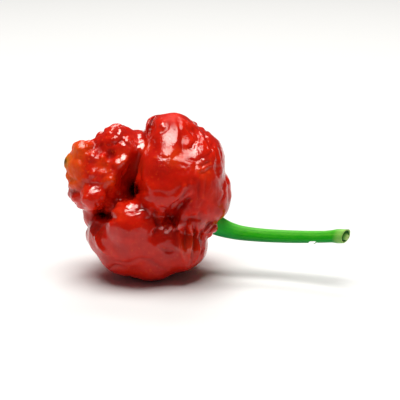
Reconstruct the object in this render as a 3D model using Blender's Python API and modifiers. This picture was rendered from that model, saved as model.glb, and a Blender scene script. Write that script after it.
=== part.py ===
"""A ripe red scorpion pepper lying on its side as picked, with its calyx and its cut stem.

+X runs along the stem, away from the fruit, +Z is up, and the origin is the centre of the flat spot
that the fruit rests on. Lengths in the tables are millimetres, and mm() turns them into metres.
"""

import math
from collections import namedtuple

import bmesh
import bpy
from mathutils import Euler, Matrix, Vector, noise

# Driving dimensions, in millimetres.
SKIN_CELL = 1.6
SKIN_SMOOTHING_PASSES = 2
SWELLING_CELL = 1.0
SWELLING_SMOOTHING_PASSES = 12
REST_SPOT_CUT = 20.0
SEAT_GAP = 0.35
WART_SIZE = 4.6
WART_HEIGHT = 2.4
PLEAT_SPACING = 4.8
PLEAT_HEIGHT = 0.35

# The calyx: where its seat lies on the fruit, how far its axis tips down, and its size.
CALYX_SEAT = (14.4, 0.6, 18.2)
CALYX_TIP_DOWN = math.radians(29)
CALYX_RADIUS = 5.9
CALYX_HEIGHT = 3.2
CALYX_NECK_RADIUS = 4.0
CALYX_TEETH = 5
CALYX_SEGMENTS = 40
SEAT_REACH = 16.0
SEAT_MOUTH_RADIUS = 7.4

# The stem: points down its middle with the radius there, and the swollen cut end.
STEM_COURSE = (
    ((17.55, 0.55, 16.45), 3.75),
    ((19.2, 0.45, 15.55), 3.2),
    ((21.5, 0.3, 14.55), 2.75),
    ((24.0, 0.0, 13.75), 2.35),
    ((27.5, -0.5, 13.1), 2.05),
    ((34.0, -1.8, 12.75), 1.85),
    ((43.0, -4.3, 13.0), 1.75),
    ((51.5, -7.4, 13.85), 1.7),
    ((56.2, -9.4, 14.5), 1.85),
    ((59.9, -11.1, 15.1), 2.1),
)
STEM_BEVEL_RESOLUTION = 5
STEM_POINTS_BETWEEN = 4
STEM_CUT_SLANT = math.radians(24)
STEM_HOLLOW_DEPTH = 0.8

Lobe = namedtuple("Lobe", "centre radii turn")

# The fruit's swellings: centre, half-sizes and turn about X, Y and Z in degrees.
CROWN = (
    Lobe((6.6, 1.0, 39.8), (8.4, 12.5, 9.6), (0, 0, 0)),
    Lobe((2.2, 1.5, 42.2), (3.8, 7.0, 5.0), (0, 0, 0)),
    Lobe((13.2, 0.0, 34.2), (9.8, 14.5, 11.0), (0, 14, 0)),
    Lobe((15.8, 0.0, 25.8), (8.6, 13.5, 9.2), (0, 0, 0)),
    Lobe((19.2, -1.5, 22.3), (5.8, 9.5, 5.6), (0, 0, 0)),
    Lobe((4.4, -9.0, 29.2), (8.8, 10.2, 7.8), (0, 0, 0)),
    Lobe((5.2, -6.0, 33.5), (8.4, 11.0, 9.5), (0, 0, 0)),
    Lobe((10.5, -5.5, 30.4), (11.0, 13.0, 11.2), (0, 0, 0)),
)
BELLY = (
    Lobe((-1.2, -1.0, 12.2), (14.4, 14.8, 13.1), (0, 0, 0)),
    Lobe((-2.2, -6.0, 14.2), (11.4, 12.4, 11.0), (0, 0, 0)),
    Lobe((-11.9, -2.6, 12.6), (7.0, 9.6, 6.8), (0, 20, 0)),
    Lobe((-17.2, -1.5, 12.6), (3.4, 4.6, 3.4), (0, 0, 0)),
    Lobe((-8.0, -4.0, 12.6), (9.3, 11.4, 8.8), (0, 0, 0)),
    Lobe((-5.0, -11.0, 18.6), (7.2, 8.8, 7.2), (0, 0, 0)),
    Lobe((8.9, -2.0, 11.2), (8.2, 13.4, 9.4), (0, 0, 0)),
    Lobe((0.5, -5.5, 10.6), (10.5, 11.0, 10.9), (0, 0, 0)),
    Lobe((-5.9, -5.0, 10.2), (10.3, 10.2, 9.2), (0, 0, 0)),
    Lobe((11.8, -1.5, 11.4), (5.2, 12.0, 7.4), (0, 0, 0)),
)
KNOB = (
    Lobe((-14.3, 1.0, 31.0), (9.8, 11.5, 10.2), (0, 0, 0)),
    Lobe((-20.3, -1.5, 38.3), (3.3, 4.2, 3.5), (0, 0, 0)),
    Lobe((-9.9, 2.0, 40.3), (5.6, 8.0, 5.4), (0, 0, 0)),
    Lobe((-20.6, 1.0, 33.6), (5.3, 7.5, 5.2), (0, 0, 0)),
    Lobe((-17.4, 1.0, 26.2), (6.8, 9.0, 6.8), (0, 0, 0)),
    Lobe((-4.2, 5.0, 35.6), (7.2, 9.5, 7.6), (0, 0, 0)),
    Lobe((-15.9, -7.0, 30.0), (3.8, 4.4, 3.6), (0, 0, 0)),
)
SHOULDER = (
    Lobe((3.0, 9.0, 22.5), (15.5, 12.5, 17.5), (0, 0, 0)),
    Lobe((-10.0, 8.0, 18.5), (10.2, 9.5, 9.8), (0, 0, 0)),
    Lobe((-4.0, 8.0, 9.0), (11.0, 9.5, 9.5), (0, 0, 0)),
    Lobe((8.8, 6.2, 9.0), (7.5, 8.5, 9.7), (0, 0, 0)),
    Lobe((15.0, 9.0, 16.0), (5.5, 7.0, 8.5), (0, 0, 0)),
    Lobe((9.0, 0.0, 17.0), (7.0, 10.0, 9.0), (0, 0, 0)),
)
SKIRT = (
    Lobe((16.4, -6.6, 15.6), (4.2, 4.6, 3.6), (0, 0, 0)),
    Lobe((12.0, -6.0, 15.0), (5.0, 5.0, 4.0), (0, 0, 0)),
    Lobe((12.0, -4.5, 20.2), (7.0, 9.6, 5.6), (0, 0, 0)),
)


def mm(*lengths):
    """Millimetres as metres: one number, or a vector of three."""
    metres = [length * 0.001 for length in lengths]
    return metres[0] if len(metres) == 1 else Vector(metres)


def skin_material(name, colour, roughness):
    material = bpy.data.materials.new(name)
    material.use_nodes = True
    shader = material.node_tree.nodes["Principled BSDF"]
    shader.inputs["Base Color"].default_value = (*colour, 1.0)
    shader.inputs["Roughness"].default_value = roughness
    shader.inputs["Metallic"].default_value = 0.0
    return material


def lobe_matrix(lobe):
    """The matrix that turns a unit sphere into the lobe."""
    turn = Euler([math.radians(angle) for angle in lobe.turn]).to_matrix().to_4x4()
    size = Matrix.Diagonal((*mm(*lobe.radii), 1.0))
    return Matrix.Translation(mm(*lobe.centre)) @ turn @ size


def link_mesh(collection, name, bm):
    mesh = bpy.data.meshes.new(name)
    bm.to_mesh(mesh)
    bm.free()
    obj = bpy.data.objects.new(name, mesh)
    collection.objects.link(obj)
    return obj


def add_skin(obj, cell, passes):
    """One closed skin over everything in the object, with its creases softened."""
    skin = obj.modifiers.new("one skin", "REMESH")
    skin.mode = "VOXEL"
    skin.voxel_size = mm(cell)
    soften = obj.modifiers.new("soft creases", "SMOOTH")
    soften.iterations = passes
    soften.factor = 0.5


def evaluated_mesh(obj):
    """The object's mesh with its modifiers applied. The object is removed."""
    bpy.context.view_layer.update()
    graph = bpy.context.evaluated_depsgraph_get()
    mesh = bpy.data.meshes.new_from_object(obj.evaluated_get(graph))
    bpy.data.objects.remove(obj)
    return mesh


def swelling(collection, lobes):
    """The mesh of one swelling, whose lobes run together under one smooth skin."""
    bm = bmesh.new()
    for lobe in lobes:
        bmesh.ops.create_icosphere(bm, subdivisions=4, radius=1.0, matrix=lobe_matrix(lobe))
    blended = link_mesh(collection, "swelling", bm)
    add_skin(blended, SWELLING_CELL, SWELLING_SMOOTHING_PASSES)
    return evaluated_mesh(blended)


def ramp(value, low, high):
    """Nought below low, one above high, and an even rise between them."""
    share = min(1.0, max(0.0, (value - low) / (high - low)))
    return share * share * (3.0 - 2.0 * share)


def skin_relief(point):
    """How far the skin stands out at a point: warts on the knob, pleats around the stem's side."""
    knob_share = ramp(-point.x, mm(3.0), mm(8.0)) * ramp(point.z, mm(19.0), mm(24.0))
    distances, _ = noise.voronoi(point / mm(WART_SIZE))
    wart = 0.42 - min(1.0, distances[0])
    pleat_share = ramp(point.x, mm(4.0), mm(12.0))
    wander = noise.noise(point / mm(9.0)) * 2.2
    pleat = math.sin(math.tau * point.x / mm(PLEAT_SPACING) + wander)
    return knob_share * wart * mm(WART_HEIGHT) + pleat_share * pleat * mm(PLEAT_HEIGHT)


def make_fruit(collection):
    bm = bmesh.new()
    for lobes in (CROWN, BELLY, KNOB, SHOULDER, SKIRT):
        bm.from_mesh(swelling(collection, lobes))
    smooth = link_mesh(collection, "smooth_fruit", bm)
    add_skin(smooth, SKIN_CELL, SKIN_SMOOTHING_PASSES)
    bm = bmesh.new()
    bm.from_mesh(evaluated_mesh(smooth))
    bm.normal_update()
    reliefs = [(vertex, vertex.normal * skin_relief(vertex.co)) for vertex in bm.verts]
    for vertex, relief in reliefs:
        vertex.co += relief
    fruit = link_mesh(collection, "fruit", bm)
    fruit.data.shade_smooth()
    fruit.data.materials.append(skin_material("red_skin", (0.62, 0.02, 0.01), 0.22))
    return fruit


def turned(collection, name, profile, segments):
    """A solid turned about Z from (radius, height) points listed from the top to the bottom."""
    bm = bmesh.new()
    verts = [bm.verts.new(mm(radius, 0.0, height)) for radius, height in profile]
    for first, second in zip(verts, verts[1:]):
        bm.edges.new((first, second))
    obj = link_mesh(collection, name, bm)
    screw = obj.modifiers.new("turned", "SCREW")
    screw.steps = screw.render_steps = segments
    screw.use_merge_vertices = True
    screw.merge_threshold = mm(0.01)
    return obj


def calyx_profile():
    """The calyx's outline, as radius and height pairs from the stem's side down to the fruit's."""
    return (
        (0.0, CALYX_HEIGHT),
        (CALYX_NECK_RADIUS - 0.3, CALYX_HEIGHT),
        (CALYX_NECK_RADIUS, CALYX_HEIGHT - 0.3),
        (CALYX_NECK_RADIUS + 0.35, CALYX_HEIGHT - 1.1),
        (CALYX_NECK_RADIUS + 0.95, CALYX_HEIGHT - 1.9),
        (CALYX_RADIUS - 0.25, 0.75),
        (CALYX_RADIUS, 0.3),
        (CALYX_RADIUS - 0.1, 0.0),
        (0.0, 0.0),
    )


def seat_profile():
    """The dimple that the calyx sits in, which opens outwards around the stem."""
    rim = CALYX_RADIUS + SEAT_GAP
    return (
        (0.0, SEAT_REACH),
        (SEAT_MOUTH_RADIUS, SEAT_REACH),
        (CALYX_NECK_RADIUS + 1.3, CALYX_HEIGHT + 0.3),
        (rim, 1.2),
        (rim, -SEAT_GAP),
        (0.0, -SEAT_GAP),
    )


def calyx_placement():
    tip = Matrix.Rotation(math.pi / 2 + CALYX_TIP_DOWN, 4, "Y")
    return Matrix.Translation(mm(*CALYX_SEAT)) @ tip


def make_calyx(collection):
    outline = turned(collection, "calyx_outline", calyx_profile(), CALYX_SEGMENTS)
    bm = bmesh.new()
    bm.from_mesh(evaluated_mesh(outline))
    for vertex in bm.verts:
        radius = math.hypot(vertex.co.x, vertex.co.y)
        edge_share = ramp(radius, mm(CALYX_NECK_RADIUS), mm(CALYX_RADIUS))
        tooth = math.cos(CALYX_TEETH * math.atan2(vertex.co.y, vertex.co.x))
        growth = 1.0 - edge_share * 0.06 * (1.0 - tooth)
        vertex.co.x *= growth
        vertex.co.y *= growth
    calyx = link_mesh(collection, "calyx", bm)
    calyx.matrix_world = calyx_placement()
    calyx.data.shade_smooth()
    calyx.data.materials.append(skin_material("green_calyx", (0.05, 0.27, 0.05), 0.45))
    return calyx


def stem_curve(collection):
    course = bpy.data.curves.new("stem_course", "CURVE")
    course.dimensions = "3D"
    course.bevel_depth = 0.001
    course.bevel_resolution = STEM_BEVEL_RESOLUTION
    course.resolution_u = STEM_POINTS_BETWEEN
    course.use_fill_caps = True
    course.twist_mode = "Z_UP"
    spline = course.splines.new("BEZIER")
    spline.bezier_points.add(len(STEM_COURSE) - 1)
    for point, (place, radius) in zip(spline.bezier_points, STEM_COURSE):
        point.co = mm(*place)
        point.radius = radius
        point.handle_left_type = point.handle_right_type = "AUTO"
    stem = bpy.data.objects.new("stem_course", course)
    collection.objects.link(stem)
    return stem


def make_stem(collection):
    mesh = evaluated_mesh(stem_curve(collection))
    bm = bmesh.new()
    bm.from_mesh(mesh)
    bmesh.ops.remove_doubles(bm, verts=bm.verts, dist=mm(0.01))
    end = mm(*STEM_COURSE[-1][0])
    along = (end - mm(*STEM_COURSE[-2][0])).normalized()
    slant = Matrix.Rotation(STEM_CUT_SLANT, 3, "Z") @ along
    faces = bmesh.ops.bisect_plane(
        bm, geom=bm.verts[:] + bm.edges[:] + bm.faces[:], plane_co=end - along * mm(1.2),
        plane_no=slant, clear_outer=True,
    )
    rim = [item for item in faces["geom_cut"] if isinstance(item, bmesh.types.BMEdge)]
    cut = bmesh.ops.edgeloop_fill(bm, edges=rim)["faces"]
    bmesh.ops.inset_region(bm, faces=cut, thickness=mm(0.45), depth=0.0)
    bmesh.ops.inset_region(bm, faces=cut, thickness=mm(0.4), depth=-mm(STEM_HOLLOW_DEPTH))
    bmesh.ops.recalc_face_normals(bm, faces=bm.faces)
    stem = link_mesh(collection, "stem", bm)
    stem.data.shade_smooth()
    stem.data.materials.append(skin_material("green_stem", (0.03, 0.32, 0.01), 0.4))
    return stem


def add_cut(obj, cutter, name):
    cutter.hide_render = True
    cutter.display_type = "WIRE"
    cut = obj.modifiers.new(name, "BOOLEAN")
    cut.operation = "DIFFERENCE"
    cut.solver = "EXACT"
    cut.object = cutter


def make_rest_cutter(collection):
    bm = bmesh.new()
    size = Matrix.Diagonal((*mm(80.0, 80.0, REST_SPOT_CUT), 1.0))
    bmesh.ops.create_cube(bm, size=1.0, matrix=Matrix.Translation(mm(0, 0, -REST_SPOT_CUT / 2)) @ size)
    return link_mesh(collection, "rest_cutter", bm)


def make_seat_cutter(collection):
    seat = turned(collection, "seat_cutter", seat_profile(), CALYX_SEGMENTS)
    seat.matrix_world = calyx_placement()
    return seat


def main():
    for old in list(bpy.data.objects):
        bpy.data.objects.remove(old)
    parts = bpy.data.collections.new("scorpion_pepper")
    cutters = bpy.data.collections.new("cutters")
    bpy.context.scene.collection.children.link(parts)
    bpy.context.scene.collection.children.link(cutters)
    fruit = make_fruit(parts)
    add_cut(fruit, make_rest_cutter(cutters), "flat rest spot")
    add_cut(fruit, make_seat_cutter(cutters), "calyx seat")
    make_calyx(parts)
    make_stem(parts)


main()
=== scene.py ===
"""A ripe red scorpion pepper on a pale floor, finished around its CAD frame.

Run as a script, it builds the fruit's skin, the calyx, the stem and the studio, one operator each.
Lengths in the tables are millimetres. Places on the side that the camera sees are given in the
picture's own frame, 400 wide and 400 high, counted from its top left corner.
"""

import math
from collections import namedtuple

import bmesh
import bpy
import numpy as np
from bpy.props import FloatProperty, FloatVectorProperty, IntProperty, PointerProperty
from bpy.types import Operator, Panel, PropertyGroup
from mathutils import Euler, Matrix, Vector, noise
from mathutils.bvhtree import BVHTree


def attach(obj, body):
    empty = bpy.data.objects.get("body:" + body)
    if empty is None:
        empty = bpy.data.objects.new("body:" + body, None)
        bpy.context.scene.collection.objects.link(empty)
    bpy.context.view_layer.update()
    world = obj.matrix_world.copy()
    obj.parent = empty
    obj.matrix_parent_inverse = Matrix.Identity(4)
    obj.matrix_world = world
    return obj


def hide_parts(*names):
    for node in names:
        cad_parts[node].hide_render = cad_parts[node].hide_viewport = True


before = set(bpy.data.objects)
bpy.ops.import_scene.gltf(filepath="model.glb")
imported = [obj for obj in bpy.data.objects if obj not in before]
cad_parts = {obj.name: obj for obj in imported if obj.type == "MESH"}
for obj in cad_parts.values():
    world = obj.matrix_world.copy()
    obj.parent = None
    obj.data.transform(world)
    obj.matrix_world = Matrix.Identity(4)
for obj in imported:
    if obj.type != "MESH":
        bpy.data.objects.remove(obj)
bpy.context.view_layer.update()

bl_info = {
    "name": "Scorpion pepper",
    "version": (1, 0, 0),
    "blender": (4, 5, 0),
    "location": "3D View > Sidebar > Pepper",
    "description": "Builds a ripe red scorpion pepper with its calyx and cut stem",
    "category": "Add Mesh",
}

BODY = "root"

# The camera: what it looks at, how far away and how high it stands, and its lens.
PICTURE_SIZE = 400
LOOK_AT = Vector((0.015, 0.0, 0.023))
CAMERA_DISTANCE = 0.4
CAMERA_ELEVATION = math.radians(15)
LENS = 120.0
SENSOR = 36.0
TO_CAMERA = Vector((0.0, -math.cos(CAMERA_ELEVATION), math.sin(CAMERA_ELEVATION)))
# How many of the picture's pixels a millimetre of the pepper takes up.
PIXELS_PER_MM = 1.0 / 0.3

# The lights, the world and the floor: where the lights hang and how large they are, in metres.
KEY_PLACE, KEY_SIZE = (0.0, -0.02, 1.2), (0.85, 0.85)
BACK_PLACE, BACK_SIZE = (0.0, 1.25, 1.4), (1.1, 0.45)
LIGHT_COLOUR = (1.0, 0.97, 0.9)
WORLD_STRENGTH = 0.06
FLOOR_REACH = 3.0

Lobe = namedtuple("Lobe", "centre radii turn", defaults=((0, 0, 0),))
Stroke = namedtuple("Stroke", "height width path")
Bump = namedtuple("Bump", "place radius height")
Facet = namedtuple("Facet", "place radii facing flatness")
CutStep = namedtuple("CutStep", "share rise pale pith")
Greens = namedtuple("Greens", "top side under pale")


def table(kind, rows):
    """One lobe, stroke, bump or facet for each row."""
    return [kind(*row) for row in rows]


# The faces of one swelling and of the whole fruit before it is cut, and the length over which the
# lobes of a swelling run together.
LOBE_CELL = 0.6
WHOLE_CELL = 0.8
LOBE_BLEND = 1.75
# The fruit's swellings: centre, half-sizes and turn about X, Y and Z in degrees.
CROWN = table(Lobe, (
    ((7, 1, 39.8), (8.3, 12.5, 9.6)), ((2.2, 2, 43.4), (3.8, 7, 5.3)),
    ((12.9, 0, 33.9), (9.6, 14.5, 10.8), (0, 14, 0)), ((15.8, 0, 25.8), (8.6, 13.5, 9.2)),
    ((18.4, -1.5, 22.8), (5.8, 9.5, 5.6)), ((4.4, -9, 29.2), (8.8, 10.2, 7.8)),
    ((5.2, -6, 33.5), (8.4, 11, 9.5)), ((10.5, -5.5, 30.4), (11, 13, 11.2)),
))
BELLY = table(Lobe, (
    ((-1.2, -1, 12.2), (14.4, 14.8, 13.1)), ((-2.2, -6, 14.2), (11.4, 12.4, 11)),
    ((-11.9, -2.6, 12.6), (7, 9.6, 6.8), (0, 20, 0)), ((-16.5, -1.5, 12.6), (3.3, 4.6, 3.4)),
    ((-8, -4, 12.6), (9.3, 11.4, 8.8)), ((-5, -11, 18.6), (7.2, 8.8, 7.2)),
    ((8.9, -2, 11.2), (8.2, 13.4, 9.4)), ((0.5, -5.5, 10.6), (10.5, 11, 10.9)),
    ((-5.9, -5, 10.2), (10.3, 10.2, 9.2)), ((12.5, -1.5, 10.8), (5.2, 12, 7.4)),
))
KNOB = table(Lobe, (
    ((-14.3, 1, 31), (9.8, 11.5, 10.2)), ((-19.9, -1.5, 38.3), (3.3, 4.2, 3.5)),
    ((-9.2, 2, 40.1), (5.6, 8, 5.4)), ((-20.3, 1, 33.6), (5.2, 7.5, 5.2)),
    ((-17.4, 1, 26.2), (6.8, 9, 6.8)), ((-12.8, 2, 38.3), (5.1, 7.5, 4.7)),
    ((-4.2, 5, 35.6), (7.2, 9.5, 7.6)), ((-16.2, -10.4, 26.5), (3.7, 4.4, 3.7), (0, 14, 0)),
    ((-11.8, -7.8, 31), (3, 4.2, 4.4), (0, 32, 0)), ((-6.8, -2.4, 39.2), (4.6, 4.6, 3.4)),
    ((-9.6, -6.4, 34), (3, 4.2, 6), (0, 36, 0)),
))
SHOULDER = table(Lobe, (
    ((3, 9, 22.5), (15.5, 12.5, 17.5)), ((-10.6, 7, 18), (10.6, 9.5, 9.8)),
    ((-4, 8, 9), (11, 9.5, 9.5)), ((8.8, 6.2, 9), (7.5, 8.5, 9.7)),
    ((15, 9, 16), (5.5, 7, 8.5)), ((9, 0, 17), (7, 10, 9)),
))
SKIRT = table(Lobe, (
    ((16.2, -6.6, 16.3), (4.2, 4.6, 3.1)), ((12, -6, 15), (5, 5, 4)),
    ((12, -4.5, 20.2), (7, 9.6, 5.6)),
))

# Flatter patches of the skin, which catch a whole lamp: middle and half-sizes in the picture, which
# way they face (up from level, and round to the right) and how flat they get.
FACETS = table(Facet, (
    ((181, 166), (15, 9), (22, 4), 0.4), ((169, 139.5), (15, 19), (53, -6), 0.85),
    ((188, 139), (8, 13), (53.5, 6), 0.7), ((150, 127), (6, 10), (48, -14), 0.6),
    ((194, 151), (11, 6), (52, 8), 0.8), ((201, 144), (5, 10), (52, 12), 0.6),
    ((123, 160.5), (8, 6), (52, -10), 0.9), ((127, 145), (6, 5), (52, 6), 0.5),
    ((118, 134), (7, 8), (52, 0), 0.5), ((141, 146), (6, 6), (52, 0), 0.7),
    ((96.5, 187.5), (7, 6), (52, -2), 0.8), ((130, 205.5), (7, 4), (53, -5), 0.8),
    ((139, 214), (8.5, 4.5), (52, 4), 0.9), ((165, 237), (16, 12), (19, 12), 0.6),
))
# Creases, with a height below nought, and ridges in the skin: height and width in millimetres, and
# the path in the picture.
FOLDS = table(Stroke, (
    # the grooves between the crown's panes
    (-0.5, 0.9, ((139, 150), (138, 164), (138, 176), (142, 188), (150, 196))),
    (-0.5, 0.65, ((177, 118), (181, 129), (182, 140), (183, 153))),
    (-0.5, 0.4, ((186, 124), (190, 131), (195, 140), (193, 149), (187, 151))),
    (-0.4, 0.35, ((192, 128), (197, 137), (198, 143))),
    (0.35, 0.35, ((176, 116), (186, 121), (197, 130), (206, 140), (208, 149))),
    (-0.5, 0.45, ((189, 119), (200, 128), (209, 139), (211, 150), (207, 157))),
    (-0.25, 0.4, ((160, 133), (165, 128), (169, 121))),
    (-0.3, 0.5, ((186, 160), (198, 161), (206, 155))),
    (-0.35, 0.4, ((196, 164), (203, 166), (211, 162))),
    (0.3, 0.35, ((197, 169), (205, 169), (213, 165))),
    (-0.3, 0.35, ((199, 173), (206, 173), (212, 170))),
    (-0.45, 0.45, ((212, 140), (216, 152), (216, 164), (218, 176))),
    (0.35, 0.4, ((216, 145), (220, 156), (220, 168), (223, 180))),
    (-0.3, 0.4, ((222, 184), (223, 194), (220, 206))),
    # the lower front, with the crevice that runs up from the deep pit
    (-0.2, 0.8, ((150, 193), (160, 192), (170, 195), (178, 190), (184, 183))),
    (0.6, 0.7, ((183, 183), (183, 188), (180, 194), (175, 202))),
    (-0.8, 0.35, ((184, 191), (180, 197), (176, 203), (170, 208))),
    (0.5, 0.4, ((187, 193), (182, 199), (178, 204), (173, 209))),
    (-0.8, 0.6, ((191, 197), (187, 201), (181, 206), (176, 211))),
    (0.6, 0.6, ((192, 181), (192, 189), (189, 196))),
    (-0.5, 0.7, ((198, 183), (199, 193), (204, 203), (200, 213))),
    (0.4, 0.3, ((158, 211), (163, 213), (165, 218), (160, 224), (157, 229))),
    (-0.6, 0.4, ((159, 207), (166, 210), (168, 217), (163, 225))),
    (-0.9, 0.7, ((152, 211), (155, 218), (158, 226), (155, 234))),
    (0.5, 0.35, ((168, 218), (170, 225), (168, 231))),
    (-0.45, 0.35, ((172, 218), (175, 225), (175, 232))),
    # the filled ledge below the crown, and the folds that run down over it
    (1, 1.7, ((170, 224), (183, 227), (197, 226))),
    (1, 0.45, ((182, 215), (180, 224), (179, 236), (181, 250), (184, 262))),
    (-1, 0.5, ((186, 221), (185, 229), (185, 238), (186, 251))),
    (0.9, 0.4, ((190, 220), (190, 232), (190, 244), (190, 256))),
    (-1.1, 0.45, ((194, 225), (193, 236), (194, 248), (191, 262))),
    (0.8, 0.4, ((197, 222), (196, 236), (198, 249), (195, 262))),
    (-1, 0.5, ((200, 230), (201, 240), (202, 251), (199, 259))),
    (-0.6, 0.3, ((200, 233), (206, 227), (212, 222))),
    (0.4, 0.3, ((203, 234), (209, 228), (214, 222))),
    (-0.5, 0.3, ((206, 234), (211, 229), (215, 224))),
    (-0.4, 0.5, ((160, 247), (170, 252), (176, 250))),
    # the nose, the lobe behind it and the left shoulder of the belly
    (0.35, 0.45, ((98, 217), (94, 222), (89, 228))),
    (0.5, 1.5, ((108, 228), (107, 238), (113, 250), (124, 260))),
    (-0.5, 0.5, ((126, 211), (134, 209.5), (145, 208.5))),
    (0.3, 0.4, ((131, 216), (138, 213.5), (146, 210.5))),
    (-0.3, 0.3, ((143, 220), (149, 218), (154, 214))),
    (0.35, 0.35, ((109, 222), (102, 227), (98, 232), (98, 240), (103, 250), (111, 257))),
    (0.7, 1.2, ((92, 232), (97, 240), (102, 248), (110, 255))),
    (-0.2, 0.3, ((94, 231), (94, 238), (98, 245))),
    (-0.5, 0.5, ((107, 268), (115, 267), (123, 267))),
    (-0.35, 0.5, ((115, 262), (127, 262), (140, 259), (150, 262), (165, 268))),
    # the knob
    (0.4, 1, ((118, 168), (113, 177), (108, 185), (99, 193))),
    (-0.7, 1.6, ((134, 163), (128, 173), (122, 186), (113, 197))),
    (-0.9, 0.5, ((91, 138), (94, 145), (88, 153))), (-0.6, 0.5, ((64, 178), (70, 178), (76, 181))),
    (-0.4, 0.5, ((69, 190), (74, 190), (79, 192))),
    (-0.4, 0.4, ((122, 133), (121, 140), (116, 143), (110, 140))),
    (-0.3, 0.3, ((123, 143), (127, 146), (131, 149))),
    (-0.3, 0.3, ((131, 139), (135, 142), (138, 147))),
    (-0.5, 0.3, ((97, 203), (99, 208), (98, 213))),
    (-0.5, 0.3, ((103, 203), (105, 208), (104, 212))),
    (0.3, 0.3, ((79, 148), (78, 157), (80, 167))),
))
# Holes between the swellings, pushed straight away from the camera.
HOLES = table(Stroke, (
    (-8, 1.6, ((131, 184), (135, 190), (137, 196))),
    (-7, 1, ((97, 216), (104, 215.5), (112, 217))),
    (-3, 1.4, ((186, 203), (179, 208), (171, 216))),
    (-3, 0.5, ((158, 113), (152, 121), (149.5, 129), (147.5, 139))),
))
# Bumps, and dents with a height below nought: middle, radius and height in millimetres.
BUMPS = table(Bump, (
    # the crown and the folds below it
    ((162, 125), 1, 0.4), ((161, 227), 1, 0.7), ((166, 231), 0.9, 0.6), ((169, 228), 0.9, 0.6),
    ((174, 229), 1, 0.6), ((190, 203), 0.9, 0.4),
    # the knob
    ((82, 146), 3.2, 0.5), ((119, 133), 2.4, 0.7), ((104, 134), 2.2, 0.3), ((127, 141), 2, 0.6),
    ((142, 145), 2.4, 0.5), ((92, 157), 2, 0.9), ((103, 158), 1.5, 0.7), ((124, 160), 2.2, 0.3),
    ((95, 187), 2.8, 0.4), ((92, 174), 1.6, 0.6), ((101, 174), 1.4, 0.5), ((112, 178), 1.7, 0.5),
    ((71, 184), 2, 1), ((76, 197), 2, 0.9), ((86, 200), 1.8, 0.5), ((103, 197), 2, 0.6),
    ((99, 148), 2.6, -1), ((111, 155), 2.4, -1), ((76, 174), 2, -0.4),
    ((104, 167), 2, -0.6), ((110, 190), 2.2, -0.5),
))
# Where the skin is more orange, above nought, or has painted shade, below nought: middle, radius in
# millimetres and share.
TINTS_AND_SHADE = table(Bump, (
    ((173, 157), 4.5, 0.6), ((145, 147), 3, 0.3), ((102, 165), 3.5, 0.5), ((110, 181), 3.6, 0.6),
    ((84, 146), 4.5, 0.7), ((120, 213), 4, 0.2), ((203, 172), 5, 0.3), ((99, 148), 2.6, -0.6),
    ((111, 155), 2.6, -0.5), ((127, 182), 5, -0.15), ((138, 168), 4, 0.15),
    ((121, 159), 4, 0.35), ((190, 246), 5, 0.35), ((155, 176), 4.5, -0.3),
    ((192, 182), 4, -0.4), ((203, 243), 3, -0.1), ((173, 213), 4.5, -1.2),
    ((185, 204), 3.4, -1),
))
# Where the skin shines less: middle, radius in millimetres and share.
DULL_PATCHES = table(Bump, (
    ((72, 167), 6, 0.9), ((76, 150), 4, 0.6), ((134, 165), 4.5, 0.9), ((106, 172), 6, 0.4),
    ((89, 220), 4, 0.6), ((208, 197), 7.5, 1.2), ((203, 181), 6, 1.2), ((158, 157), 1.8, 0.5),
    ((108, 231), 3, 0.6), ((195, 205), 4.5, 1), ((73, 177), 5, 1.2), ((79, 192), 3.5, 0.8),
    ((97, 198), 3.5, 0.6), ((113, 152), 3.5, 1.3), ((100, 149), 2.5, 1.1), ((162, 192), 6, 0.35),
    ((146, 160), 5, 0.7), ((171, 116), 4.6, 1.6), ((115, 207), 4, 1.4),
))
# Where the skin is wet with shine.
GLOSSY_PATCHES = table(Bump, (
    ((128, 205), 2.4, 1), ((140, 213), 2.4, 1), ((139, 206), 1.6, 0.8), ((118, 133), 3.2, 1),
    ((128, 145), 2.6, 1), ((136, 138), 2.4, 0.8), ((140, 146), 2.2, 1), ((123, 160), 2.8, 1),
    ((96, 187), 2.8, 1), ((92, 160), 2.2, 0.7), ((98, 177), 2, 0.7), ((84, 146), 2, 0.4),
    ((204, 163), 3.4, 1), ((162, 125), 1.8, 0.9), ((223, 190), 1.6, 0.9), ((148, 125), 2.6, 0.8),
    ((181, 245), 2.4, 0.5), ((191, 247), 2.4, 0.6), ((198, 243), 2, 0.6), ((178, 226), 1.8, 0.7),
    ((167, 230), 2.6, 1), ((160, 227), 1.6, 0.8), ((149, 218), 1.8, 0.8), ((195, 150), 3, 0.5),
    ((170, 138), 4.5, 0.4), ((97, 219), 1.2, 1), ((93, 223), 1.4, 1), ((90, 227), 1.2, 1),
    ((207, 227), 2.8, 0.7), ((163, 162), 5, 0.5),
))
# Where the skin is finely crinkled and its shine breaks into sparkles.
CRINKLED_PATCHES = table(Bump, (
    ((204, 163), 5, 1), ((165, 226), 5, 1), ((134, 209), 4, 0.8), ((170, 138), 6, 1),
    ((193, 148), 4, 0.9), ((206, 228), 4, 0.8), ((190, 205), 4, 0.6), ((163, 163), 5.5, 1.4),
))

# How far the strokes and spots stray from their places, in the picture.
WANDER = 2.2
# How far along a stroke its relief grows at either end, as shares of its length.
STROKE_ENDS = (-0.15, 0.25)
# How much a vertex must face the camera to be seen, and where a look at it starts.
GRAZING = 0.02
LOOK_START = 0.6
# From where to where something grows from nothing to full: the knob to the left and upwards, the
# pleats to the right and the dents to the back.
KNOB_LEFT, KNOB_UP = (4.0, 9.0), (19.5, 23.5)
PLEATS_RIGHT = (8.0, 15.0)
DENTS_BACK = (1.0, 6.0)
# The same for the knob's orange, to the left and upwards, and where it ends above.
ORANGE_LEFT, ORANGE_UP, ORANGE_END = (17.0, 24.5), (26.0, 31.0), (40.0, 43.0)
# The dark scar at the blossom end, and from where to where it and the olive skin around it fade.
SCAR_PLACE = (-25.6, -2.0, 35.6)
SCAR_FADE, OLIVE_FADE = (0.6, 1.6), (1.0, 3.6)
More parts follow.
